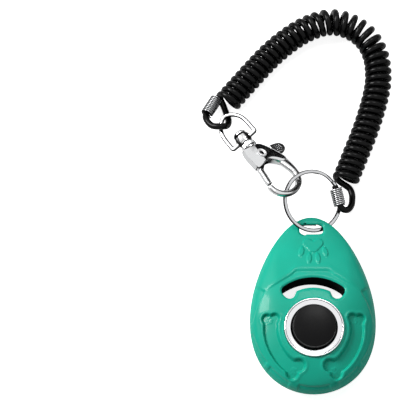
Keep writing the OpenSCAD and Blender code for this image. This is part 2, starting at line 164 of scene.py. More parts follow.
def carve(solid, cutters, operation="DIFFERENCE"):
    """Cut the cutters from a solid, or join them to it, and throw the cutters away."""
    for cutter in cutters:
        step = solid.modifiers.new("carve", "BOOLEAN")
        step.operation = operation
        step.solver = "MANIFOLD"
        step.object = cutter
        depsgraph = bpy.context.evaluated_depsgraph_get()
        result = bpy.data.meshes.new_from_object(solid.evaluated_get(depsgraph))
        solid.modifiers.clear()
        solid.data = result
        bpy.data.objects.remove(cutter)
    return solid


def soften(solid, crease=38):
    """Smooth shading with crisp edges where faces meet at more than the crease angle."""
    solid.data.polygons.foreach_set("use_smooth", np.ones(len(solid.data.polygons), dtype=bool))
    solid.data.set_sharp_from_angle(angle=np.radians(crease))
    return solid


cut_low, cut_high = -2, 20
slot_r, slot_cy, slot_width, slot_reach = 16.05, 1.1, 4.1, np.radians(36)
foot_r, foot_at = 2.0, 14.55


def slot_distance(x, y):
    """Distance to the slot's edge, negative inside: an arc band joined smoothly to a round foot at each
    end."""
    along = np.clip(np.arctan2(x, y - slot_cy), -slot_reach, slot_reach)
    band = np.hypot(x - slot_r * np.sin(along), y - slot_cy - slot_r * np.cos(along)) - slot_width / 2
    foot_x, foot_y = foot_at * np.sin(slot_reach), slot_cy + foot_at * np.cos(slot_reach)
    return smooth_least(band, np.hypot(np.abs(x) - foot_x, y - foot_y) - foot_r, 0.9)


def slot_edge(grow=0.0):
    """Outline of the slot: rays from points along its arc, each walked out to the edge by halving."""
    count = 240
    t = np.linspace(0, 2 * np.pi, count, endpoint=False)
    spine = 0.94 * slot_reach * np.cos(t)
    radial, tangent = np.array([np.sin(spine), np.cos(spine)]), np.array([np.cos(spine), -np.sin(spine)])
    start = (slot_r - 0.5) * radial + np.array([[0], [slot_cy]])
    ray = radial * np.sin(t) + tangent * np.cos(t)
    near, far = np.zeros(count), np.full(count, 9.0)
    for _ in range(24):
        middle = (near + far) / 2
        x, y = start + ray * middle
        outside = slot_distance(x, y) > grow
        near, far = np.where(outside, near, middle), np.where(outside, middle, far)
    return (start + ray * near).T


eyelet_y = centre_y + half_length - 4.8
eyelet_half = np.array([4.4, 2.05])


def eyelet_edge():
    """The eyelet's outline, an oval with flattened sides: x = w |cos t|^0.6 and y = h |sin t|^0.6, each
    with its own sign."""
    w, h = eyelet_half
    t = np.linspace(0, 2 * np.pi, 72, endpoint=False)
    x, y = np.sign(np.cos(t)) * np.abs(np.cos(t)) ** 0.6, np.sign(np.sin(t)) * np.abs(np.sin(t)) ** 0.6
    return np.column_stack([w * x, h * y + eyelet_y])


def worn_cutter(name, side):
    """The groove that the ring wears where it enters the eyelet: a round bar that slopes down into its
    edge."""
    sides, half_wide, half_deep = 32, 2.65, 1.6
    t = np.linspace(0, 2 * np.pi, sides, endpoint=False)
    path = np.array([[-7.6, 3.6], [-1.9, -0.9]]) * side
    across = eyelet_y + half_wide * np.cos(t)
    ring = [np.column_stack([np.full(sides, x), across,
                             seam_z + z + side * half_deep + half_deep * np.sin(t)]) for x, z in path]
    faces = grid_faces(2, sides) + [list(range(sides))[::-1], list(range(sides, 2 * sides))]
    return make_mesh(name, np.concatenate(ring), faces)


vault_columns = 300
seam_share, seam_groove = 0.993, 0.15
angles = np.linspace(0, 2 * np.pi, vault_columns, endpoint=False)
belly_shares = np.sin(np.linspace(0.16, np.pi / 2, 64))
belly = belly_height(belly_shares[:, None], angles[None, :])
belly_shares = np.append(belly_shares, seam_share)
belly = np.vstack([belly[:-1], belly[-1:] - seam_groove, belly[-1:]])
rear_shell = nested_solid("rear_shell_moulded", np.array(egg(angles, half_width, half_length, centre_y)),
                          belly_shares, belly, 0, seam_z)

cavity_top = centre_y + half_length - 12.5
cavity_back = half_length - centre_y - wall
cavity_half = (cavity_top + cavity_back) / 2
cavity_outline = np.array(egg(angles, half_width - wall - 0.2, cavity_half, cavity_half - cavity_back))
bosses = np.array([[0, cavity_top - 6.2], [-13.2, -11.6], [13.2, -11.6]])
screw_post = np.array([0, -14.2])
boss_r = 2.6


def cavity_cutter(name, shares, heights, apex, flat):
    """The hollow inside a shell: a lens that leaves a wall round the slot and a boss for each screw."""
    hollow = nested_solid(name, cavity_outline, shares, heights, apex, flat)
    kept = [prism("slot wall", slot_edge(1.3), cut_low, cut_high)]
    kept += [prism("boss", round_outline(x, y, boss_r), cut_low, cut_high) for x, y in bosses]
    return carve(hollow, kept)


pit_shares = np.linspace(0.15, 1, 24)
pit = wall - 0.2 + (seam_z - wall + 0.2) * pit_shares[:, None] ** 6 + 0 * angles[None, :]
pit_shares, pit = np.append(pit_shares, 1.0), np.vstack([pit, pit[-1:] + 1])
hollow = cavity_cutter("pit", pit_shares, pit, wall - 0.2, seam_z + 1)
carve(hollow, [prism("screw post", round_outline(*screw_post, boss_r), cut_low, cut_high)])
holes = [hollow, prism("slot", slot_edge(), cut_low, cut_high),
         prism("eyelet", eyelet_edge(), cut_low, cut_high)]
screw_hole_r, sink_r, sink_depth = 1.35, 2.1, 1.8
holes += [prism("screw hole", round_outline(x, y, screw_hole_r, 32), cut_low, cut_high) for x, y in bosses]
holes += [prism("screw sink", round_outline(x, y, sink_r, 48), cut_low, sink_depth) for x, y in bosses]
holes += [worn_cutter("worn edge", 1), worn_cutter("worn edge", -1)]
carve(rear_shell, holes)
soften(rear_shell)


def linear(colour):
    """An sRGB hex colour as linear red, green, blue and alpha."""
    parts = np.array([int(colour[i:i + 2], 16) for i in (1, 3, 5)]) / 255
    parts = np.where(parts <= 0.04045, parts / 12.92, ((parts + 0.055) / 1.055) ** 2.4)
    return (*parts.tolist(), 1.0)


def add_node(tree, kind, sockets=None, **settings):
    """One node: its settings, then a value or a link for each named or numbered input."""
    made = tree.nodes.new(kind)
    for name, value in settings.items():
        setattr(made, name, value)
    for name, value in (sockets or {}).items():
        if isinstance(value, bpy.types.NodeSocket):
            tree.links.new(value, made.inputs[name])
        else:
            made.inputs[name].default_value = value
    return made


def surface(name, metallic=0.0, ior=None):
    """A new material with its node tree and its shader."""
    material = bpy.data.materials.new(name)
    material.use_nodes = True
    shader = material.node_tree.nodes["Principled BSDF"]
    shader.inputs["Metallic"].default_value = metallic
    if ior:
        shader.inputs["IOR"].default_value = ior
    return material, material.node_tree, shader


def paint_wall_shade(solid):
    """A face value that is 1 on the upright faces inside the slot and the eyelet, which get a painted shade,
    nearly black."""
    faces = solid.data.polygons
    normal, middle = np.empty(len(faces) * 3), np.empty(len(faces) * 3)
    faces.foreach_get("normal", normal)
    faces.foreach_get("center", middle)
    x, y, _ = middle.reshape(-1, 3).T * 1000
    upright = np.abs(normal.reshape(-1, 3)[:, 2]) < 0.3
    in_eyelet = (np.abs(x) < eyelet_half[0] + 0.3) & (np.abs(y - eyelet_y) < eyelet_half[1] + 0.4)
    kept = solid.data.attributes.new("painted_wall_shade", "FLOAT", "FACE")
    kept.data.foreach_set("value", (upright & ((slot_distance(x, y) < 0.25) | in_eyelet)).astype(np.float32))


def satin_abs(name, pale, mean, deep):
    """Injection-moulded ABS: a fine spark-eroded grain of 0.35 mm, a slow drift of tone from the flow of the
    melt, and a soft gloss that handling has polished a little unevenly. The upright walls in the slot and the
    eyelet get a painted shade: their colour is near black, and they have no gloss."""
    material, tree, shader = surface(name, ior=1.53)
    place = add_node(tree, "ShaderNodeTexCoord")
    flow = add_node(tree, "ShaderNodeTexNoise", {"Vector": place.outputs["Object"], "Scale": 45.0,
                                                 "Detail": 2.0})
    painted_wall_shade = add_node(tree, "ShaderNodeAttribute", attribute_name="painted_wall_shade")
    tone = add_node(tree, "ShaderNodeValToRGB", {"Fac": flow.outputs["Fac"]})
    tone.color_ramp.elements[0].position, tone.color_ramp.elements[0].color = 0.3, linear(deep)
    tone.color_ramp.elements[1].position, tone.color_ramp.elements[1].color = 0.7, linear(pale)
    middle = tone.color_ramp.elements.new(0.5)
    middle.color = linear(mean)
    shade = add_node(tree, "ShaderNodeMix", {"Factor": painted_wall_shade.outputs["Fac"], 6: tone.outputs["Color"]},
                     data_type="RGBA")
    # Painted shade: the near-black colour of the slot's and eyelet's upright walls.
    shade.inputs[7].default_value = linear("#021712")
    tree.links.new(shade.outputs[2], shader.inputs["Base Color"])
    rub = add_node(tree, "ShaderNodeTexNoise", {"Vector": place.outputs["Object"], "Scale": 160.0,
                                                "Detail": 4.0})
    gloss = add_node(tree, "ShaderNodeMapRange", {"Value": rub.outputs["Fac"], "To Min": 0.36,
                                                  "To Max": 0.46})
    matt = add_node(tree, "ShaderNodeMath", {0: gloss.outputs[0], 1: painted_wall_shade.outputs["Fac"]}, operation="ADD",
                    use_clamp=True)
    tree.links.new(matt.outputs[0], shader.inputs["Roughness"])
    shine = add_node(tree, "ShaderNodeMapRange", {"Value": painted_wall_shade.outputs["Fac"], "To Min": 0.13,
                                                  "To Max": 0.0})
    tree.links.new(shine.outputs[0], shader.inputs["Specular IOR Level"])
    grain = add_node(tree, "ShaderNodeTexNoise", {"Vector": place.outputs["Object"], "Scale": 2900.0,
                                                  "Detail": 2.0})
    bump = add_node(tree, "ShaderNodeBump", {"Height": grain.outputs["Fac"], "Strength": 0.12,
                                             "Distance": 0.00003})
    tree.links.new(bump.outputs["Normal"], shader.inputs["Normal"])
    shader.inputs["Coat Weight"].default_value = 0.15
    shader.inputs["Coat Roughness"].default_value = 0.12
    return material


paint_wall_shade(rear_shell)
teal_abs = satin_abs("moulded satin ABS, teal", "#12AD93", "#0CA58B", "#079C82")
rear_shell.data.materials.clear()
rear_shell.data.materials.append(teal_abs)
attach(rear_shell, "housing")
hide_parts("rear_shell")


# ---- Front shell ----
# The domed upper half, moulded in the same ABS. Two bone-shaped recesses for the fingers curve round the
# button, a raised brow lies above the slot, shallow scallops follow the edge, and a paw stands in low
# relief by the eyelet.

def bone_distance(x, y):
    """Distance to a bone's edge, negative inside: a curved shaft joined smoothly to two round lobes at each
    end."""
    x = -np.abs(x)
    turn = np.degrees(np.arctan2(y, x)) % 360
    along = np.radians(np.clip(turn, 174, 240))
    middle = 15.6 + 0.6 * smooth_step((np.degrees(along) - 205) / 35)
    d = np.hypot(x - middle * np.cos(along), y - middle * np.sin(along)) - 2.35
    for lobe_x, lobe_y, lobe in ((-16.9, 3.6, 1.65), (-14.1, 3.7, 1.6), (-5.6, -13.7, 2.2),
                                 (-7.9, -16.3, 2.0)):
        d = smooth_least(d, np.hypot(x - lobe_x, y - lobe_y) - lobe, 0.8)
    return d


def paw_distance(x, y, turn, size):
    """Distance to a paw print's edge: a three-lobed pad and four upright oval toes in a fan, size 1 being
    9 mm wide."""
    c, s = np.cos(turn), np.sin(turn)
    u, v = np.abs(c * x + s * y) / size, (c * y - s * x) / size
    pad = smooth_least(np.hypot(u - 2.0, v + 1.3) - 1.7, np.hypot(u, v - 0.4) - 2.1, 1.4)
    toes = [(1.6, 5.0, 0.85, 2.0, 0.08), (4.35, 2.3, 0.9, 1.95, 0.25)]
    d = pad
    for tu, tv, ru, rv, lean in toes:
        p = np.cos(lean) * (u - tu) - np.sin(lean) * (v - tv)
        q = np.sin(lean) * (u - tu) + np.cos(lean) * (v - tv)
        d = np.minimum(d, (np.hypot(p / ru, q / rv) - 1) * ru)
    return d * size


def brow_height(x, y):
    """The step above the slot: 0.4 mm up across a line that runs level and then falls away to both sides."""
    beyond = np.maximum(0, np.abs(x) - 5.0)
    line = 21.9 - 0.62 * beyond * smooth_step(beyond / 3)
    fade = smooth_step((18.5 - np.abs(x)) / 6) * smooth_step((34 - y) / 9)
    ridge = 0.14 * np.exp(-((y - line - 1.5) / 1.1) ** 2)
    return (0.42 * smooth_step((y - line) / 1.1 + 0.5) + ridge) * fade


def scallop_depth(x, y, s):
    """Seven shallow lens-shaped facets inside the rim, cut 0.6 mm deep between an inner line and their own
    ends."""
    turn = np.degrees(np.arctan2(np.abs(x), y))
    radius = np.hypot(x, y)
    depth = np.zeros_like(radius)
    for start, stop, near, far in ((50, 84, 0.82, 0.955), (92, 126.5, 0.955, 0.9), (129.5, 156.5, 0.9, 0.915),
                                   (163.5, 196.5, 0.9, 0.9)):
        t = np.clip((turn - start) / (stop - start), 0, 1)
        inner = near + (far - near) * t
        inside = (s - inner) * radius / s
        ends = np.minimum(turn - start, stop - turn) * np.pi / 180 * radius
        depth = np.maximum(depth, smooth_step(inside / 0.6 + 0.2) * smooth_step(ends / 0.9))
    return 0.6 * depth


bone_depth, bone_lip = 1.35, 0.16
paw_rise, small_paw_rise = 0.38, 0.12


def dome_height(s, angle, x, y):
    """Top face: a quarter-round rim under a dome, with the brow, lips, recesses and reliefs added or taken
    away."""
    z = seam_z + rim * np.sqrt(np.maximum(0, 1 - s ** 14))
    z = z + crown * np.maximum(0, 1 - s * s) ** (0.5 + 1.3 * towards_eyelet(angle))
    z = z + brow_height(x, y) - scallop_depth(x, y, s) * smooth_step((1.0 - s) / 0.012)
    bone = bone_distance(x, y)
    recess = smooth_step(0.5 - bone / 0.9)
    z = z - bone_depth * recess + bone_lip * np.exp(-((bone - 0.8) / 0.45) ** 2)
    for px, py, turn in ((-15.5, 2.9, 75), (-7.1, -14.9, 158)):
        small = paw_distance(-np.abs(x) - px, y - py, np.radians(turn), 0.24)
        z = z + small_paw_rise * smooth_step(0.5 - small / 0.3)
    slot = slot_distance(x, y)
    z = z - 0.5 * np.maximum(0, 1 - np.maximum(slot, -0.6) / 1.0) ** 2
    seat = np.hypot(x, y) - 10.8
    z = z - 0.25 * np.clip(1 - seat / 0.6, 0, 1) ** 2
    w, h = eyelet_half
    away = np.hypot(np.maximum(np.abs(x) - w + 1, 0), np.maximum(np.abs(y - eyelet_y) - h + 1, 0)) - 1
    z = z - 0.4 * np.clip(1 - away / 0.9, 0, 1.5) ** 2
    paw = paw_distance(x - 0.4, 31.7 - y, 0, 1.0)
    return z + paw_rise * smooth_step(0.5 - paw / 0.5)


columns = 580
angles = np.linspace(0, 2 * np.pi, columns, endpoint=False)
outline = np.array(egg(angles, half_width, half_length, centre_y))
dome_shares = np.sin(np.linspace(0.225, np.pi / 2, 146))
dome = dome_height(dome_shares[:, None], angles[None, :], dome_shares[:, None] * outline[0],
                   dome_shares[:, None] * outline[1])
dome[-1] = seam_z + seam_groove
dome_shares, dome = np.append(dome_shares, seam_share), np.vstack([dome, 0 * dome[-1:] + seam_z])
front_shell = nested_solid("front_shell_moulded", outline, dome_shares, dome, body_height, seam_z)

button_lo, button_hi = box_mm("button")
trim_lo, trim_hi = box_mm("trim_ring")
trim_r = trim_hi[0]
flange_r = button_hi[0]
button_r = flange_r - 1.3
button_gap, seat_gap = 0.4, 0.12
thread_r, thread_z = 0.95, (3, 8.5)
trim_floor = trim_lo[2]
angles = np.linspace(0, 2 * np.pi, vault_columns, endpoint=False)
vault_shares = np.linspace(0.12, 1, 30)
steepness = 0.5 + towards_eyelet(angles[None, :])
vault = seam_z + (crown + rim - wall) * (1 - vault_shares[:, None] ** 2) ** steepness
vault_shares, vault = np.append(vault_shares, 1.0), np.vstack([vault, vault[-1:] - 1])
hollow = cavity_cutter("vault", vault_shares, vault, body_height - wall, seam_z - 1)
carve(hollow, [prism("collar", round_outline(0, 0, button_r + button_gap + 1.3, 96), 9.45, 20)])
holes = [hollow, prism("slot", slot_edge(), cut_low, cut_high),
         prism("eyelet", eyelet_edge(), cut_low, cut_high)]
holes += [prism("button hole", round_outline(0, 0, button_r + button_gap, 128), cut_low, cut_high)]
holes += [prism("ring seat", round_outline(0, 0, trim_r + seat_gap, 192), trim_floor, cut_high)]
holes += [prism("screw hole", round_outline(x, y, thread_r, 32), *thread_z) for x, y in bosses]
holes += [worn_cutter("worn edge", 1), worn_cutter("worn edge", -1)]
carve(front_shell, holes)
soften(front_shell)
paint_wall_shade(front_shell)
front_shell.data.materials.clear()
front_shell.data.materials.append(teal_abs)
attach(front_shell, "housing")
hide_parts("front_shell")


# ---- Trim ring ----
# A turned brass ring, polished and plated bright, pressed into a seat round the button. Its lip is rolled
# over, and its face is a shallow dish that slopes in towards the button.

def lathe(name, profile, segments=192):
    """A closed profile of radius and height turned once round the z axis."""
    profile = np.array(profile, dtype=float)
    t = np.linspace(0, 2 * np.pi, segments, endpoint=False)[:, None]
    points = np.stack([profile[:, 0] * np.cos(t), profile[:, 0] * np.sin(t), profile[:, 1] + 0 * t], axis=-1)
    return make_mesh(name, points.reshape(-1, 3), grid_faces(segments, len(profile), True, True))


bore_r = button_r + button_gap + 0.1
lip_z = trim_hi[2] - 0.02
lip_round, bore_inset, dish_sag = 0.35, 0.3, 0.05
t = np.linspace(0, np.pi, 14)
lip = np.column_stack([trim_r - lip_round + lip_round * np.cos(t), lip_z - lip_round + lip_round * np.sin(t)])
lip = lip[lip[:, 0] > trim_r - 0.62]
t = np.linspace(0, 1, 16)
inner_r = bore_r - bore_inset
dish_from, dish_to = np.array([trim_r - 0.68, lip_z - 0.34]), np.array([inner_r + 0.15, lip_z - 0.55])
dish = dish_from + (dish_to - dish_from) * t[:, None] - np.column_stack([0 * t, dish_sag * np.sin(np.pi * t)])
bore = [[inner_r, lip_z - 0.8], [inner_r, trim_floor]]
profile = [[trim_r, trim_floor]] + lip.tolist() + dish.tolist() + bore
trim_ring = soften(lathe("trim_ring_turned", profile), 50)


def bright_plate(name, colour, rough, wear):
    """Bright nickel-chrome plate over polished metal: mirror-like, with a faint bloom where fingers have
    dulled it. Where a piece carries the flank value, the colour is painted near black as a dark reflection."""
    material, tree, shader = surface(name, metallic=1.0)
    place = add_node(tree, "ShaderNodeTexCoord")
    bloom = add_node(tree, "ShaderNodeTexNoise", {"Vector": place.outputs["Object"], "Scale": 420.0,
                                                  "Detail": 5.0})
    gloss = add_node(tree, "ShaderNodeMapRange", {"Value": bloom.outputs["Fac"], "From Min": 0.35,
                                                  "From Max": 0.75, "To Min": rough, "To Max": rough + wear})
    tree.links.new(gloss.outputs["Result"], shader.inputs["Roughness"])
    ripple = add_node(tree, "ShaderNodeTexNoise", {"Vector": place.outputs["Object"], "Scale": 260.0})
    bump = add_node(tree, "ShaderNodeBump", {"Height": ripple.outputs["Fac"], "Strength": 0.06,
                                             "Distance": 0.0001})
    tree.links.new(bump.outputs["Normal"], shader.inputs["Normal"])
    flank_painted_shade = add_node(tree, "ShaderNodeAttribute", attribute_name="flank_painted_shade")
    # Painted dark reflection: the flank value mixes the plate's colour towards near black.
    shade = add_node(tree, "ShaderNodeMix", {"Factor": flank_painted_shade.outputs["Fac"]}, data_type="RGBA")
    shade.inputs[6].default_value, shade.inputs[7].default_value = linear(colour), linear("#161617")
    tree.links.new(shade.outputs[2], shader.inputs["Base Color"])
    return material


def paint_flank_shade(solid, axis, start=0.92, full=0.55, wound=False, bright=(0, 0, 0)):
    """A corner value that rises from 0 to 1 as the surface turns away from the given axis. There the plate
    gets a painted dark reflection, so that bright metal keeps its outline on a white table. A wound spring
    gets this painted shade where it turns towards the axis, between its turns, and a side that faces the
    given lit direction gets only a little of it."""
    normal = np.empty(len(solid.data.loops) * 3)
    solid.data.corner_normals.foreach_get("vector", normal)
    facing = np.abs(normal.reshape(-1, 3) @ (np.array(axis) / np.linalg.norm(axis)))
    facing = np.sqrt(np.maximum(0, 1 - facing ** 2)) if wound else facing
    dark = smooth_step((start - facing) / (start - full))
    dark = dark * (1 - 0.85 * smooth_step((normal.reshape(-1, 3) @ np.array(bright) - 0.1) / 0.5))
    kept = solid.data.attributes.new("flank_painted_shade", "FLOAT", "CORNER")
    kept.data.foreach_set("value", dark.astype(np.float32))


trim_plate = bright_plate("polished chrome plate", "#EDEEF0", 0.05, 0.08)
trim_ring.data.materials.append(trim_plate)
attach(trim_ring, "housing")
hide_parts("trim_ring")


# ---- Button ----
# A hollow push button moulded in black ABS and polished in the mould: a low dome with a soft edge, a skirt
# that slides in the front shell, a flange that keeps it in, and a stem that bears on the steel tongue.

stem_z, button_top = button_lo[2], button_hi[2]
edge_z = button_top - 1.4
edge_inset, edge_round, crown_fall = 0.45, 0.5, 0.6
edge_r = button_r - edge_inset
t = np.linspace(0, 1, 30)
crown_line = np.column_stack([(edge_r - edge_round) * t, button_top - crown_fall * t ** 2.4])
t = np.linspace(0, np.pi / 2, 12)
shoulder = np.column_stack([edge_r - edge_round + edge_round * np.sin(t),
                            button_top - 1.1 + edge_round * np.cos(t)])
stem_r, skirt_r, flange_low, flange_high = 1.5, button_r - 1.4, 8.4, 9.4
profile = [[0.02, stem_z], [stem_r, stem_z], [stem_r, edge_z - 1.3], [skirt_r, edge_z - 1.3],
           [skirt_r, flange_low], [flange_r, flange_low], [flange_r, flange_high], [button_r, flange_high]]
profile += shoulder[::-1].tolist() + crown_line[-2::-1].tolist()
profile[-1][0] = 0.02
button = soften(lathe("button_moulded", profile), 40)


def black_abs(name, colour, rough):
    """Black ABS with a polished mould face: deep gloss, with hair-fine rubbing of about 0.4 mm."""
    material, tree, shader = surface(name, ior=1.53)
    shader.inputs["Base Color"].default_value = linear(colour)
    place = add_node(tree, "ShaderNodeTexCoord")
    rub = add_node(tree, "ShaderNodeTexNoise", {"Vector": place.outputs["Object"], "Scale": 330.0,
                                                "Detail": 6.0})
    gloss = add_node(tree, "ShaderNodeMapRange", {"Value": rub.outputs["Fac"], "To Min": rough,
                                                  "To Max": rough + 0.1})
    tree.links.new(gloss.outputs["Result"], shader.inputs["Roughness"])
    grain = add_node(tree, "ShaderNodeTexNoise", {"Vector": place.outputs["Object"], "Scale": 2500.0})
    bump = add_node(tree, "ShaderNodeBump", {"Height": grain.outputs["Fac"], "Strength": 0.08,
                                             "Distance": 0.00002})
    tree.links.new(bump.outputs["Normal"], shader.inputs["Normal"])
    shader.inputs["Specular IOR Level"].default_value = 0.1
    return material


button.data.materials.append(black_abs("polished black ABS", "#050506", 0.27))
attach(button, "button")
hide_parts("button")


# ---- Click plate, screws and lever spring ----
# The hidden hardware keeps its plain turned and folded shapes: a bowed spring-steel tongue, its screw,
# three housing screws and the lever's small spring, all in bright zinc-plated or rolled steel.

def rolled_steel(name, colour, rough, stretch):
    """Rolled steel under thin zinc: grey, with fine drawn lines about 0.2 mm apart along the strip."""
    material, tree, shader = surface(name, metallic=1.0)
    place = add_node(tree, "ShaderNodeTexCoord")
    turn = add_node(tree, "ShaderNodeMapping", {"Vector": place.outputs["Object"], "Scale": stretch})
    lines = add_node(tree, "ShaderNodeTexNoise", {"Vector": turn.outputs["Vector"], "Scale": 900.0,
                                                  "Detail": 3.0})
    tone = add_node(tree, "ShaderNodeMix", {"Factor": lines.outputs["Fac"]}, data_type="RGBA")
    tone.inputs[6].default_value, tone.inputs[7].default_value = linear(colour), linear("#C9CBCE")
    tree.links.new(tone.outputs[2], shader.inputs["Base Color"])
    gloss = add_node(tree, "ShaderNodeMapRange", {"Value": lines.outputs["Fac"],
                                                  "To Min": rough, "To Max": rough + 0.15})
    tree.links.new(gloss.outputs["Result"], shader.inputs["Roughness"])
    return material


strip_steel = rolled_steel("rolled spring steel", "#A9ABAE", 0.22, (0.2, 3.0, 3.0))
zinc_steel = rolled_steel("zinc-plated steel", "#9C9EA1", 0.3, (1.0, 1.0, 0.4))
for node, material in (("click_plate", strip_steel), ("lever_spring", strip_steel),
                       ("plate_screw", zinc_steel), ("housing_screws", zinc_steel)):
    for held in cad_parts[node].material_slots:
        held.material = material


# ---- Split ring ----
# A split ring of hardened steel wire, flattened to 1.4 by 0.6 mm and bright nickel plated. It is wound
# almost twice round, steps over itself once, and runs through the eyelet and through the clasp's hook.

def turned(points, axis, angle):
    """Points turned round an axis k through the origin: p cos a + (k x p) sin a + k (k . p)(1 - cos a)."""
    k, p = np.array(axis) / np.linalg.norm(axis), np.asarray(points)
    return p * np.cos(angle) + np.cross(k, p) * np.sin(angle) + k * (p @ k)[..., None] * (1 - np.cos(angle))


def bar(name, sections):
    """A closed bar through rows of section points, capped at both ends."""
    rows, sides = sections.shape[:2]
    ends = [list(range(sides))[::-1], list(range((rows - 1) * sides, rows * sides))]
    return make_mesh(name, sections.reshape(-1, 3), grid_faces(rows, sides) + ends)


ring_c, ring_r = np.array([0.6, 49.33, 7.06]), 10.95
ring_slope = np.array([-0.36, 0.2])
band_half, band_pitch = np.array([0.7, 0.3]), 0.66
q = np.linspace(0, 2 * np.pi, 24, endpoint=False)
round_x, round_z = np.cos(q), np.sin(q)
turn = np.linspace(14, 706, 300)[:, None]
step_over = (smooth_step((turn - 344) / 30) - 0.5) * band_pitch
ends = np.minimum(1, 0.35 + np.minimum(turn - 14, 706 - turn) / 4)
reach = ring_r + band_half[0] * round_x * ends
wound = np.stack([reach * np.cos(np.radians(turn + 60)), reach * np.sin(np.radians(turn + 60)),
                  step_over + band_half[1] * round_z * ends], axis=-1)
ring_axis = (ring_slope[1], -ring_slope[0], 0)
wound = turned(wound, ring_axis, np.arctan(np.hypot(*ring_slope))) + ring_c
split_ring = soften(bar("split_ring_wound", wound), 60)
ring_nickel = bright_plate("bright nickel plate on spring steel", "#CFD0D2", 0.06, 0.08)
split_ring.data.materials.append(ring_nickel)
# Painted dark reflection along the band's edges.
paint_flank_shade(split_ring, (*-ring_slope, 1), 0.985, 0.92)
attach(split_ring, "ring")
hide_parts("split_ring")


# ---- Clasp hook ----
# The body of a lobster clasp, die-cast in zinc, tumbled and nickel plated. Two cheeks hold the lever
# between them, a ribbed collar takes the swivel stud, and the hook is a rounded bar that bends round to a
# blunt tip.

def spline(points, steps, closed=False):
    """A smooth line through the points: the cubic in each span leaves both ends parallel to their
    neighbours' chord."""
    p = np.array(points, dtype=float)
    if closed:
        a, b, c, d = np.roll(p, 1, axis=0), p, np.roll(p, -1, axis=0), np.roll(p, -2, axis=0)
    else:
        e = np.concatenate([p[:1], p, p[-1:]])
        a, b, c, d = e[:-3], e[1:-2], e[2:-1], e[3:]
    a, b, c, d = a[:, None], b[:, None], c[:, None], d[:, None]
    t = np.linspace(0, 1, steps, endpoint=False)[None, :, None]
    line = (2 * b + (c - a) * t + (2 * a - 5 * b + 4 * c - d) * t ** 2 + (3 * b - a - 3 * c + d) * t ** 3) / 2
    line = line.reshape(-1, p.shape[1])
    return line if closed else np.vstack([line, p[-1:]])


def rounded_plate(name, outline, thickness, rounding, steps=5):
    """An outline made solid. Each level is the outline moved inwards by r(1 - cos t), at a height of
    h - r(1 - sin t). One more level 0.12 mm further in closes each face."""
    outline = np.asarray(outline, dtype=float)
    along = np.roll(outline, -1, axis=0) - np.roll(outline, 1, axis=0)
    inward = np.column_stack([-along[:, 1], along[:, 0]]) / np.linalg.norm(along, axis=1)[:, None]
    x, y = outline.T
    if np.sum(x * np.roll(y, -1) - y * np.roll(x, -1)) < 0:
        inward = -inward
    t = np.linspace(0, np.pi / 2, steps)
    t = np.concatenate([-t[::-1], t])
    height = np.repeat([-1, 1], steps) * (thickness / 2 - rounding) + rounding * np.sin(t)
    levels = outline[None] + inward[None] * (rounding * (1 - np.cos(t)))[:, None, None]
    levels = np.concatenate([levels, height[:, None, None] + 0 * levels[..., :1]], axis=-1)
    face_inset = 0.12
    inner = np.concatenate([inward * face_inset, 0 * inward[:, :1]], axis=-1)
    return bar(name, np.concatenate([levels[:1] + inner, levels, levels[-1:] + inner]))


clasp_at = np.array([-24.07, 73.36, 7.66])
clasp_angles = np.radians([-33.4, -11, -54.1])
stud_y, eye_roll = -1.1, np.radians(49.4)
rivet_at = np.array([9.1, 0.1])
lever_thick, slit, cheek_thick = 1.4, 1.9, 3.4


def as_clasp_lies(points):
    """Points or directions turned round x, then y, then z, by the clasp's three angles."""
    for axis, angle in zip(np.eye(3), clasp_angles):
        points = turned(points, axis, angle)
    return points


def lay_in_clasp(made, shift=(0, 0, 0), roll=0.0, stand=0.0):
    """Puts a piece in the clasp: turned about y, rolled about x, shifted, and then laid in the clasp's own
    plane."""
    points = np.empty(len(made.data.vertices) * 3)
    made.data.vertices.foreach_get("co", points)
    points = turned(turned(points.reshape(-1, 3) * 1000, (0, 1, 0), stand), (1, 0, 0), roll) + np.array(shift)
    made.data.vertices.foreach_set("co", ((as_clasp_lies(points) + clasp_at) / 1000).ravel())
    made.data.update()
    return made


def clasp_axis(roll=0.0, own=(0.0, 0.0, 1.0)):
    """The clasp's own upright direction, or another of its own directions, rolled about its length, in the
    frame."""
    return as_clasp_lies(turned([own], (1, 0, 0), roll))[0]


def round_bar(line, half_thick):
    """A bar along a flat line of x, y and half width. Its section lies between an oval and a rounded
    oblong: across |cos q|^0.62 and up |sin q|^0.62, with their signs."""
    power = 0.62
    along = np.gradient(line[:, :2], axis=0)
    side = np.column_stack([-along[:, 1], along[:, 0]]) / np.linalg.norm(along, axis=1)[:, None]
    q = np.linspace(0, 2 * np.pi, 28, endpoint=False)
    across = (np.sign(np.cos(q)) * np.abs(np.cos(q)) ** power)[None, :, None] * line[:, None, 2:3]
    half_thick = np.asarray(half_thick)[..., None, None]
    height = (np.sign(np.sin(q)) * np.abs(np.sin(q)) ** power)[None, :, None] * half_thick
    return np.concatenate([line[:, None, :2] + side[:, None] * across, height + 0 * across], axis=-1)


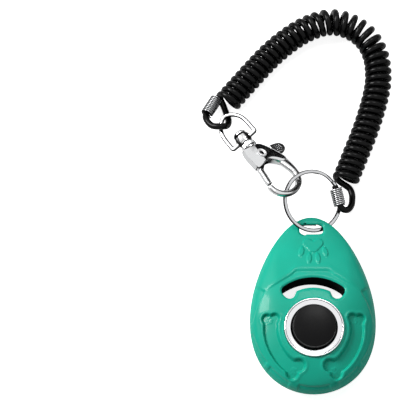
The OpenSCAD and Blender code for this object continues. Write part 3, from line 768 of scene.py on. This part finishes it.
hook_line = spline([[11.5, 6.2, 1.9], [13.4, 7.4, 2.2], [16.2, 8.2, 1.95], [19.2, 8.75, 1.55],
                    [22.2, 8.5, 1.2], [25.3, 6.7, 1.1], [27.6, 3.5, 1.05], [28.5, -0.4, 1.08],
                    [27.9, -3.7, 1.1], [26.3, -5.7, 1.08], [24.4, -6.45, 1.05], [23.2, -6.3, 1.0]], 8)
tip = np.minimum(1, 0.55 + np.arange(len(hook_line))[::-1] / 7)
hook_line[:, 2] *= tip
hook = bar("clasp_hook_cast", round_bar(hook_line, 1.1 * tip))
cheek = spline([[4.3, -3.7], [5.4, -5.5], [8.6, -6], [11.6, -5.9], [14.2, -5.6], [14.3, -4.2], [13.2, -0.8],
                [12.8, 2.1], [13.6, 4.3], [15.2, 6.7], [14.7, 8.8], [12.6, 8.9], [7.5, 5.7],
                [4.3, 2.2]], 6, True)
joined = [rounded_plate("cheeks", cheek, cheek_thick, 0.9, 7)]
q = np.linspace(0, 2 * np.pi, 192, endpoint=False)[:, None]
collar = np.array([[2.4, 0.6], [2.4, 2.45], [2.55, 2.7], [2.8, 2.75], [3.0, 2.75], [3.05, 2.9], [4.15, 2.9],
                   [4.25, 2.65], [4.6, 2.2], [5.2, 2.1], [5.2, 0.6]])
ribbed = ((collar[:, 0] > 3.02) & (collar[:, 0] < 4.2)) * 0.16
radius = collar[:, 1] - ribbed * (0.5 + 0.5 * np.cos(26 * q))
points = np.stack([collar[:, 0] + 0 * q, stud_y + radius * np.cos(q), radius * np.sin(q)], axis=-1)
joined += [make_mesh("collar", points.reshape(-1, 3), grid_faces(192, len(collar), True, True))]
carve(hook, joined, "UNION")


def lever_parts(grow, count=48):
    """The lever's outline as four simple shapes round its rivet: boss, thumb tab, neck, and the arm with
    the gate."""
    tab = round_outline(-0.85, 9.8, 1.75 + grow, count)
    neck = [[-2.45 - grow, 9.8], [-2.3 - grow, 0], [1.6 + grow, 0], [0.9 + grow, 9.8]]
    arm = [[-1.8, -2 - grow], [5.5, -5.8 - grow], [13.35 + grow, -7.05 - grow], [13.35 + grow, -5.1 + grow],
           [6.6 + grow, -3.9 + grow], [2.6 + grow, 0.6]]
    return [round_outline(0, 0, 2.7 + grow, count), tab, np.array(neck), np.array(arm)]


sweeps = []
for swing in np.radians(np.arange(0, 28.6, 4.0)):
    c, s = np.cos(swing), np.sin(swing)
    for part in lever_parts(0.32, 32):
        sweeps += [prism("slit", part @ np.array([[c, s], [-s, c]]) + rivet_at, -slit / 2, slit / 2)]
facet = [[-0.4, 1.72], [-9, 0.42], [-9, 6], [-0.4, 6]]
facet = np.stack([np.repeat([[4.9], [16.5]], 4, axis=1),
                  np.tile(np.array(facet)[:, 0], (2, 1)), np.tile(np.array(facet)[:, 1], (2, 1))], axis=-1)
sweeps += [prism("rivet hole", round_outline(*rivet_at, 0.92, 32), -4, 4), bar("sloped cheek", facet)]
stud_hole = lathe("stud hole", [[0.01, 1.9], [1.24, 1.9], [1.24, 5.7], [0.01, 5.7]], 48)
points = np.empty(len(stud_hole.data.vertices) * 3)
stud_hole.data.vertices.foreach_get("co", points)
points = turned(points.reshape(-1, 3), (0, 1, 0), np.pi / 2) + [0, stud_y / 1000, 0]
stud_hole.data.vertices.foreach_set("co", points.ravel())
carve(hook, sweeps + [stud_hole])
soften(hook, 32)
clasp_nickel = bright_plate("bright nickel plate on cast zinc", "#E2E3E4", 0.07, 0.1)
hook.data.materials.clear()
hook.data.materials.append(clasp_nickel)
lay_in_clasp(hook)
# Painted dark reflection on the hook's sides, much less on the side facing the clasp's -y direction.
paint_flank_shade(hook, clasp_axis(), 0.8, 0.3, bright=clasp_axis(0, (0.0, -1.0, 0.0)))
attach(hook, "clasp")
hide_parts("clasp_hook")


# ---- Clasp lever ----
# The cast lever turns on the rivet between the cheeks. Its gate closes the hook's mouth, and a ribbed thumb
# tab stands out on the far side.

boss, tab, neck, arm = lever_parts(0)
lever = rounded_plate("clasp_lever_cast", boss, lever_thick, 0.15)
gate = spline([[5.9, -5.75], [9.5, -6.4], [13.1, -6.95], [13.35, -6.1], [13.1, -5.25], [10, -4.6],
               [7.0, -4.1], [6.0, -4.7]], 5, True)
pill = spline([[-2.6, 6.6], [-2.9, 10.2], [-2.3, 12.1], [-0.8, 12.8], [0.8, 12.1], [1.3, 10.2], [1.1, 6.6],
               [-0.8, 6.2]], 6, True)
joined = [prism("neck", neck, -lever_thick / 2, lever_thick / 2),
          prism("arm", arm, -lever_thick / 2, lever_thick / 2), rounded_plate("gate", gate, 1.9, 0.55),
          rounded_plate("tab", pill, 2.0, 0.3)]
carve(lever, joined, "UNION")
grooves = [prism("rivet hole", round_outline(0, 0, 0.98, 32), -2, 2),
           prism("spring seat", round_outline(0, 0, 2.2, 48), lever_thick / 2 - 0.7, 2)]
for rib in np.arange(8.4, 11.4, 0.75):
    grooves += [prism("groove", [[-1.9, rib], [0.3, rib], [0.3, rib + 0.12], [-1.9, rib + 0.12]], 0.92, 2)]
carve(lever, grooves)
soften(lever, 32)
lever.data.materials.clear()
lever.data.materials.append(clasp_nickel)
lay_in_clasp(lever, (*rivet_at, 0))
# Painted dark reflection on the lever's sides, much less on the side facing the clasp's -y direction.
paint_flank_shade(lever, clasp_axis(), bright=clasp_axis(0, (0.0, -1.0, 0.0)))
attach(lever, "lever")
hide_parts("clasp_lever")


# ---- Clasp rivet ----
# A short steel tube pushed through both cheeks and the lever, and rolled over at the top, so that a hollow
# shows inside a bright rim. The hollow's wall and the tube's sides carry a painted dark reflection.

half = cheek_thick / 2
rivet = [[0.02, -half - 0.3], [1.3, -half - 0.3], [1.68, -half - 0.02], [0.9, -half - 0.02],
         [0.9, half + 0.02], [1.7, half - 0.1], [1.9, half + 0.12], [1.84, half + 0.34], [1.56, half + 0.46],
         [1.22, half + 0.38], [0.98, half + 0.1], [0.94, half - 0.9], [0.02, half - 0.9]]
rivet = soften(lathe("clasp_rivet_rolled", rivet, 64), 40)
rivet.data.materials.append(bright_plate("tumbled nickel plate", "#F6F6F7", 0.46, 0.1))
lay_in_clasp(rivet, (*rivet_at, 0))
# Painted dark reflection on the rivet's sides and on the wall of its hollow.
paint_flank_shade(rivet, clasp_axis(), 0.5, 0.1)
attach(rivet, "clasp")
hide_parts("clasp_rivet")


# ---- Swivel stud and eye ----
# The stud is a turned pin with a domed head, staked into the clasp's collar. The D-shaped eye, cast and
# plated like the clasp, turns freely on it between the head and the collar.

stud = [[0.02, -3.4], [0.9, -3.38], [1.6, -3.24], [2.2, -2.96], [2.52, -2.6], [2.6, -2.25], [2.55, -1.95],
        [2.35, -1.78], [1.25, -1.7], [1.2, -1.6], [1.2, 5.6], [0.02, 5.6]]
stud = soften(lathe("swivel_stud_turned", stud, 96), 40)
stud.data.materials.append(clasp_nickel)
lay_in_clasp(stud, (0, stud_y, 0), 0, np.pi / 2)
# Painted dark reflection on the stud's sides.
paint_flank_shade(stud, clasp_axis(), 0.6, 0.2)
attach(stud, "clasp")
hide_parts("swivel_stud")

def turned_on_x(name, profile, segments):
    """A closed profile of x and radius turned once round the x axis."""
    q = np.linspace(0, 2 * np.pi, segments, endpoint=False)[:, None]
    points = np.stack([profile[:, 0] + 0 * q, profile[:, 1] * np.cos(q), profile[:, 1] * np.sin(q)], axis=-1)
    return make_mesh(name, points.reshape(-1, 3), grid_faces(segments, len(profile), True, True))


half_bow = [[0.45, 0, 0.85], [0.45, 2.4, 0.85], [0.45, 4.7, 0.85], [0.3, 5.25, 0.8], [-0.3, 5.4, 0.8],
            [-2, 5.35, 0.8], [-5, 5.28, 0.8], [-7.85, 4.72, 0.79], [-10.05, 3.4, 0.78], [-11.55, 1.65, 0.8],
            [-12.1, 0, 0.8]]
half_bow = np.array(half_bow)
bow = spline(np.concatenate([half_bow, half_bow[-2:0:-1] * [1, -1, 1]]), 8, True)
along = np.roll(bow, -1, axis=0) - np.roll(bow, 1, axis=0)
side = np.column_stack([-along[:, 1], along[:, 0]]) / np.linalg.norm(along[:, :2], axis=1)[:, None]
q = np.linspace(0, 2 * np.pi, 24, endpoint=False)
across = np.cos(q)[None, :, None] * bow[:, None, 2:3]
height = np.sin(q)[None, :, None] * 0.8
points = np.concatenate([bow[:, None, :2] + side[:, None] * across, height + 0 * across], axis=-1)
eye = make_mesh("swivel_eye_cast", points.reshape(-1, 3), grid_faces(len(bow), 24, True, True))
drum = np.array([[-1.4, 0.6], [-1.4, 2.5], [-1.2, 2.78], [-0.9, 2.9], [1.3, 2.9], [1.45, 2.82], [1.5, 2.6],
                 [1.98, 2.55], [2.0, 0.6]])
carve(eye, [turned_on_x("drum", drum, 96)], "UNION")
pin = np.array([[-2, 0.01], [-2, 1.28], [4, 1.28], [4, 0.01]])
carve(eye, [turned_on_x("pin hole", pin, 48)])
soften(eye, 38)
eye.data.materials.clear()
eye.data.materials.append(clasp_nickel)
lay_in_clasp(eye, (0, stud_y, 0), eye_roll)
# Painted dark reflection on the eye's sides.
paint_flank_shade(eye, clasp_axis(eye_roll), 0.9, 0.74)
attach(eye, "eye")
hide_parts("swivel_eye")


# ---- Wrist coil and lower loop ----
# One length of black polyurethane cord, extruded 2.4 mm thick. It comes out of the lower sleeve, loops
# round the split ring, is heat-set into about 45 turns, and leaves the last turn towards the clasp's eye.

def by_length(line, count):
    """The same line with its points spaced evenly along it."""
    at = np.concatenate([[0], np.cumsum(np.linalg.norm(np.diff(line, axis=0), axis=1))])
    places = np.linspace(0, at[-1], count)
    return np.column_stack([np.interp(places, at, line[:, k]) for k in range(line.shape[1])])


def cord_tube(name, line, radius, upright, sides=16):
    """A round cord: at each point of the line, circle points r(u cos t + v sin t), with u and v square to
    the line. Its ends are rounded off to 0.72 of the radius. It keeps an attribute of the place round and
    along the cord for the material."""
    along = np.gradient(line, axis=0)
    along /= np.linalg.norm(along, axis=1)[:, None]
    u = np.cross(upright, along)
    u /= np.linalg.norm(u, axis=1)[:, None]
    v = np.cross(along, u)
    t = np.linspace(0, 2 * np.pi, sides, endpoint=False)[:, None]
    run = np.concatenate([[0], np.cumsum(np.linalg.norm(np.diff(line, axis=0), axis=1))])
    end = np.clip(np.minimum(run, run[-1] - run) / (0.3 * radius), 0, 1)
    full = radius * (0.72 + 0.28 * np.sqrt(1 - (1 - end) ** 2))
    sections = line[:, None] + full[:, None, None] * (u[:, None] * np.cos(t) + v[:, None] * np.sin(t))
    made = bar(name, sections)
    t, run = t[:, 0][None], run[:, None]
    lay = np.stack([radius * np.cos(t) + 0 * run, radius * np.sin(t) + 0 * run, run + 0 * t], axis=-1)
    kept = made.data.attributes.new("lay", "FLOAT_VECTOR", "POINT")
    kept.data.foreach_set("vector", (lay / 1000).astype(np.float32).ravel())
    return made


cord_d = 2.4
coil_z, coil_mean = 5.16, 3.92
moved = np.array([0, -0.1])
route = spline(np.array([[12.8, 57.7], [14.4, 61.6], [17, 68], [21, 78], [24.5, 89], [26.2, 98],
                         [25.5, 107.5], [21.8, 115], [15.4, 119.7], [8, 121.1], [0, 118.6], [-7.5, 113.8],
                         [-14.5, 107.6], [-21, 100.4], [-25.6, 95.0], [-30.7, 89.0]]) + moved, 40)
route = by_length(route, 4000)
ahead = np.gradient(route, axis=0)
step = np.linalg.norm(ahead, axis=1)
ahead /= step[:, None]
heading = np.unwrap(np.arctan2(ahead[:, 1], ahead[:, 0]))
spread = 100
heading_rate = np.pad(np.gradient(heading) / step, spread, mode="edge")
curve = np.abs(np.convolve(heading_rate, np.ones(2 * spread + 1) / (2 * spread + 1), mode="valid"))
pitch = np.maximum(2.68, 2.48 / (1 - coil_mean * curve))
phase = np.cumsum(step / pitch)
turns = np.round(phase[-1]) - 0.25
phase = -0.25 + (phase - phase[0]) / (phase[-1] - phase[0]) * turns
leftward = np.column_stack([-ahead[:, 1], ahead[:, 0]])
a = 2 * np.pi * np.linspace(phase[0], phase[-1], int(turns * 30))
where = np.interp(a / (2 * np.pi), phase, np.arange(len(phase)))
centre = np.column_stack([np.interp(where, np.arange(len(route)), route[:, k]) for k in (0, 1)])
left = np.column_stack([np.interp(where, np.arange(len(route)), leftward[:, k]) for k in (0, 1)])
helix = np.column_stack([centre + coil_mean * np.cos(a)[:, None] * left, coil_z + coil_mean * np.sin(a)])
lower = np.array([[8.85, 55.1, 8.05], [9.1, 54.1, 7.8], [9.95, 50.8, 7], [10.7, 48, 6.3], [11.9, 46.6, 5.7],
                  [13.7, 46.8, 4.7], [15.1, 48.8, 3.3], [15.6, 51.3, 2.1], [15.6, 53.8, 1.5],
                  [14.6, 56.2, 1.3]]) + [0, -0.1, 0]
upper_start = np.array([-31.6, 87.0, 1.5])
per_span = 12
lead_in = spline(np.concatenate([lower, helix[2:10:4]]), per_span)[:per_span * len(lower) + 1]
turn_off = helix[-1] + np.array([[0.25, -0.55, -1.7], [1.15, -2.1, -3.2]])
leaving = np.concatenate([helix[-9::4], turn_off, [upper_start, upper_start + [0.7, -2.4, 0.9]]])
lead_out = spline(leaving, per_span)[2 * per_span:5 * per_span + 1]
coil_line = np.concatenate([lead_in, helix[3:-1], lead_out])
gap = np.linalg.norm(np.diff(coil_line, axis=0), axis=1)
coil_line = np.concatenate([coil_line[:1], coil_line[1:][gap > 0.05]])
near = np.argmin(np.linalg.norm(coil_line[:, None, :2] - route[None, ::20], axis=2), axis=1) * 20
level = np.column_stack([ahead[near], np.zeros(len(near))])
share = smooth_step((np.arange(len(coil_line)) - len(lead_in) + 2) / 8)[:, None]
upright = share * level + (1 - share) * np.array([0, 0, 1.0])
coil = soften(cord_tube("wrist_coil_cord", coil_line, cord_d / 2, upright), 60)


def extruded_cord(name, deep, pale):
    """Extruded polyurethane, black through and through: a wet gloss from the die, with faint draw lines
    that run along the cord about 0.3 mm apart and a slow unevenness where it has rubbed on itself."""
    material, tree, shader = surface(name, ior=1.5)
    lay = add_node(tree, "ShaderNodeAttribute", attribute_name="lay")
    stretch = add_node(tree, "ShaderNodeMapping", {"Vector": lay.outputs["Vector"],
                                                   "Scale": (1.0, 1.0, 0.03)})
    lines = add_node(tree, "ShaderNodeTexNoise", {"Vector": stretch.outputs["Vector"], "Scale": 3000.0})
    rub = add_node(tree, "ShaderNodeTexNoise", {"Vector": lay.outputs["Vector"], "Scale": 180.0,
                                                "Detail": 4.0})
    tone = add_node(tree, "ShaderNodeMix", {"Factor": rub.outputs["Fac"]}, data_type="RGBA")
    tone.inputs[6].default_value, tone.inputs[7].default_value = linear(deep), linear(pale)
    tree.links.new(tone.outputs[2], shader.inputs["Base Color"])
    gloss = add_node(tree, "ShaderNodeMapRange", {"Value": rub.outputs["Fac"], "To Min": 0.16,
                                                  "To Max": 0.34})
    tree.links.new(gloss.outputs["Result"], shader.inputs["Roughness"])
    bump = add_node(tree, "ShaderNodeBump", {"Height": lines.outputs["Fac"], "Strength": 0.1,
                                             "Distance": 0.00003})
    tree.links.new(bump.outputs["Normal"], shader.inputs["Normal"])
    shader.inputs["Specular IOR Level"].default_value = 0.13
    return material


cord_black = extruded_cord("extruded black polyurethane", "#020202", "#060607")
coil.data.materials.append(cord_black)
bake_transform(coil)
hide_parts("wrist_coil", "cord_loop_lower")


# ---- Sleeves ----
# Each end of the cord is held by a close-wound spring of plated steel wire, 0.64 mm thick, crimped over the
# cord. The lower one rides with the split ring and the upper one with the swivel eye.

wire_d, sleeve_r = 0.64, 2.35


def spring_sleeve(name, start, end, turns):
    """A wire wound round the line from start to end: centre + r (u cos a + v sin a), a turning evenly along
    it."""
    start, end = np.array(start), np.array(end)
    along = (end - start) / np.linalg.norm(end - start)
    u = np.cross(along, [0, 0, 1.0])
    u /= np.linalg.norm(u)
    v = np.cross(along, u)
    share = np.linspace(0, 1, turns * 24)[:, None]
    a = 2 * np.pi * turns * share
    line = start + along * wire_d / 2 + (end - start - along * wire_d) * share
    line = line + (sleeve_r - wire_d / 2) * (u * np.cos(a) + v * np.sin(a))
    return soften(cord_tube(name, line, wire_d / 2, np.repeat(along[None], len(line), axis=0), 10), 60)


sleeve_wire = bright_plate("bright plate on drawn spring wire", "#E6E7E9", 0.14, 0.1)
lower_sleeve = spring_sleeve("sleeve_lower_wound", lower[3] + (lower[3] - lower[2]) * 0.12, lower[1], 9)
lower_sleeve.data.materials.append(sleeve_wire)
# Painted shade on the lower sleeve's wire between its turns.
paint_flank_shade(lower_sleeve, lower[3] - lower[1], 0.98, 0.84, True)
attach(lower_sleeve, "ring")
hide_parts("sleeve_lower")
upper_crimp = np.array([[-38.8, 83.8, 4.8], [-34.7, 90.9, 3.4]])
upper_sleeve = spring_sleeve("sleeve_upper_wound", *upper_crimp, 10)
upper_sleeve.data.materials.append(sleeve_wire)
# Painted shade on the upper sleeve's wire between its turns.
paint_flank_shade(upper_sleeve, upper_crimp[1] - upper_crimp[0], 0.98, 0.84, True)
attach(upper_sleeve, "eye")
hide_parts("sleeve_upper")


# ---- Upper loop ----
# The cord's other end runs from the last turn through the D-shaped eye, back over it and into the upper
# sleeve, where its cut end just shows.

upper = np.array([[-30.9, 84.6, 2.4], [-30.3, 82.0, 3.7], [-30.8, 79.4, 5.7], [-33.0, 78.3, 7.9],
                  [-36.4, 78.8, 7.1], [-38.5, 81.4, 6], [-38.8, 84.2, 4.7], [-36.8, 87.4, 3.95],
                  [-34.6, 90.8, 3.4], [-33.9, 91.9, 3.2]]) + [0, -0.1, 0]
upper_line = by_length(spline(np.concatenate([[upper_start], upper]), 12), 150)
upright = np.repeat([[0, 0, 1.0]], len(upper_line), axis=0)
upper_loop = soften(cord_tube("cord_loop_upper_cord", upper_line, cord_d / 2, upright), 60)
upper_loop.data.materials.append(cord_black)
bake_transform(upper_loop)
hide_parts("cord_loop_upper")


# ---- Floor ----
# A pale matt studio table, large enough to fill the view, on which the clicker and its cord lie. To the
# camera it also glows a little, so that it shows as plain white.

side = 1600.0
low = -0.05
floor = make_mesh("studio_table", [[-side, -side, low], [side, -side, low], [side, side, low],
                                   [-side, side, low]], [[0, 1, 2, 3]])
paper, tree, shader = surface("pale matt paper")
shader.inputs["Base Color"].default_value = linear("#E6E6E6")
shader.inputs["Roughness"].default_value = 0.9
rays = add_node(tree, "ShaderNodeLightPath")
seen = add_node(tree, "ShaderNodeMath", {0: rays.outputs["Is Camera Ray"],
                                         1: rays.outputs["Is Transmission Ray"]}, operation="MAXIMUM")
white = add_node(tree, "ShaderNodeEmission", {"Strength": 0.86})
both = add_node(tree, "ShaderNodeAddShader", {0: shader.outputs[0], 1: white.outputs[0]})
choice = add_node(tree, "ShaderNodeMixShader", {"Fac": seen.outputs[0], 1: shader.outputs[0],
                                                2: both.outputs[0]})
tree.links.new(choice.outputs[0], tree.nodes["Material Output"].inputs["Surface"])
floor.data.materials.append(paper)


# ---- Studio light ----
# A white room, with a dark skirting for the bright metal to mirror, a little lower at the far right. The
# camera doesn't see the skirting. A soft lamp stands on the left, and a weaker one hangs overhead.

world = bpy.data.worlds.new("studio")
bpy.context.scene.world = world
world.use_nodes = True
tree = world.node_tree
tree.nodes.clear()
place = add_node(tree, "ShaderNodeTexCoord")
parts = add_node(tree, "ShaderNodeSeparateXYZ", {"Vector": place.outputs["Generated"]})
facing = add_node(tree, "ShaderNodeVectorMath", {0: place.outputs["Generated"], 1: (0.46, 0.88, 0.0)},
                  operation="DOT_PRODUCT")
height = add_node(tree, "ShaderNodeMapRange", {"Value": facing.outputs["Value"], "From Min": 0.0,
                                               "From Max": 0.5, "To Min": 0.3, "To Max": 0.26})
above = add_node(tree, "ShaderNodeMath", {0: parts.outputs["Z"], 1: height.outputs[0]}, operation="SUBTRACT")
panel = add_node(tree, "ShaderNodeMapRange", {"Value": above.outputs[0], "From Min": 0.0, "From Max": -0.1})
rays = add_node(tree, "ShaderNodeLightPath")
only = add_node(tree, "ShaderNodeMath", {0: 1.0, 1: rays.outputs["Is Camera Ray"]}, operation="SUBTRACT")
panel = add_node(tree, "ShaderNodeMath", {0: panel.outputs[0], 1: only.outputs[0]}, operation="MULTIPLY")
room = add_node(tree, "ShaderNodeMix", {"Factor": panel.outputs[0]}, data_type="RGBA")
room.inputs[6].default_value, room.inputs[7].default_value = (1, 1, 1, 1), linear("#101010")
seen = add_node(tree, "ShaderNodeMath", {0: rays.outputs["Is Camera Ray"], 1: rays.outputs["Is Glossy Ray"]},
                operation="MAXIMUM")
seen = add_node(tree, "ShaderNodeMath", {0: seen.outputs[0], 1: rays.outputs["Is Transmission Ray"]},
                operation="MAXIMUM")
shown = add_node(tree, "ShaderNodeBackground", {"Color": room.outputs[2], "Strength": 1.0})
lights_up = add_node(tree, "ShaderNodeBackground", {"Color": (1, 1, 1, 1), "Strength": 0.2})
choice = add_node(tree, "ShaderNodeMixShader", {"Fac": seen.outputs[0], 1: lights_up.outputs[0],
                                                2: shown.outputs[0]})
add_node(tree, "ShaderNodeOutputWorld", {"Surface": choice.outputs[0]})

aim = np.array([-0.005, 0.05, 0.0])
lamp_away = 0.9
lamps = (("key_lamp", (-0.70, 0.32, 0.62), 0.36, 8.6),
         ("top_lamp", (0.1, 0.45, 0.89), 0.3, 2.0))
for name, offset, size, power in lamps:
    lamp = bpy.data.lights.new(name, "AREA")
    lamp.size, lamp.energy = size, power
    held = bpy.data.objects.new(name, lamp)
    bpy.context.collection.objects.link(held)
    x, y, z = offset
    held.location = (aim + lamp_away * np.array(offset)).tolist()
    held.rotation_euler = (0, np.arctan2(np.hypot(x, y), z), np.arctan2(y, x))


# ---- Camera ----
# It looks down at the table from the foot of the body, tilted 17 degrees from straight above. A long lens,
# 182 mm on a frame 36 mm wide, keeps the view flat.

camera = bpy.data.cameras.new("camera")
camera.sensor_width, camera.lens = 36, 182.4
held = bpy.data.objects.new("camera", camera)
bpy.context.collection.objects.link(held)
tilt, camera_away = np.radians(17), 0.75
held.location = (-0.04103, 0.05002 - camera_away * np.sin(tilt), 0.006 + camera_away * np.cos(tilt))
held.rotation_euler = (tilt, 0, 0)
bpy.context.scene.camera = held
bpy.context.scene.view_settings.view_transform = "Standard"
